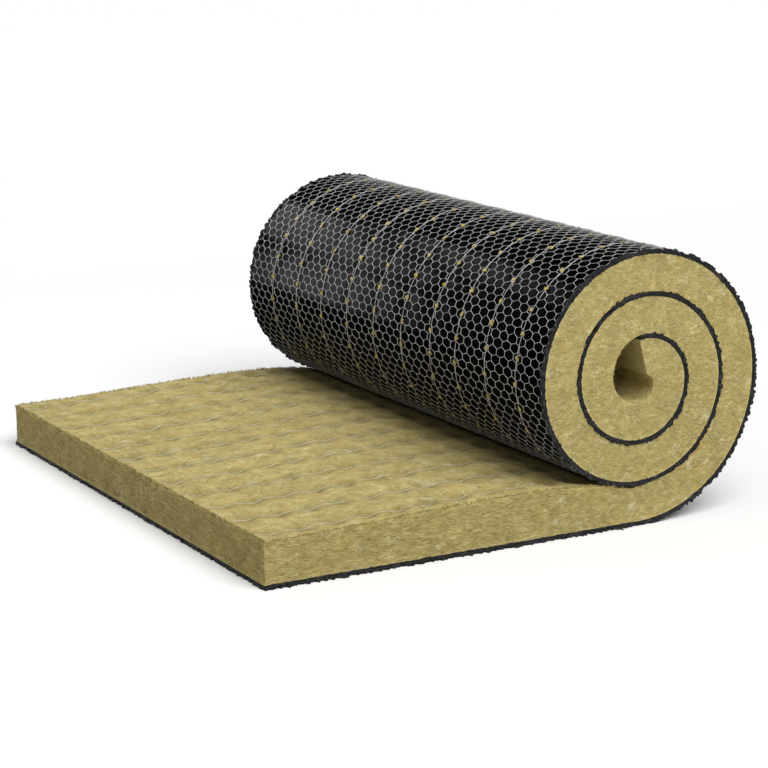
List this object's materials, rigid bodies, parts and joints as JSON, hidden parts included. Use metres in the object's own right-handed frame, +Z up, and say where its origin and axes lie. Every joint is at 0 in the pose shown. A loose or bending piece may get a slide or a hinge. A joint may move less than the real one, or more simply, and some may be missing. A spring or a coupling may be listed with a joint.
{
  "type": "insulation roll",
  "caption": "Partly unrolled stone-wool wired mat: a thick wool slab on a black facing, its free end flat on the floor and the rest wound up with the facing outwards.",
  "frame": {"origin": "centre of the footprint, on the floor under the facing", "axes": "+X along the mat from its free end towards the roll, +Y along the roll's axis, +Z up"},
  "size_m": [0.869, 1, 0.4335],
  "materials": {
    "stone_wool": "matt, fibrous",
    "black_facing": "satin black sheet with a rough cut edge",
    "galvanised_wire": "dull zinc"
  },
  "bodies": {
    "root": {"wool_mat": "stone_wool", "facing": "black_facing"}
  },
  "joints": []
}
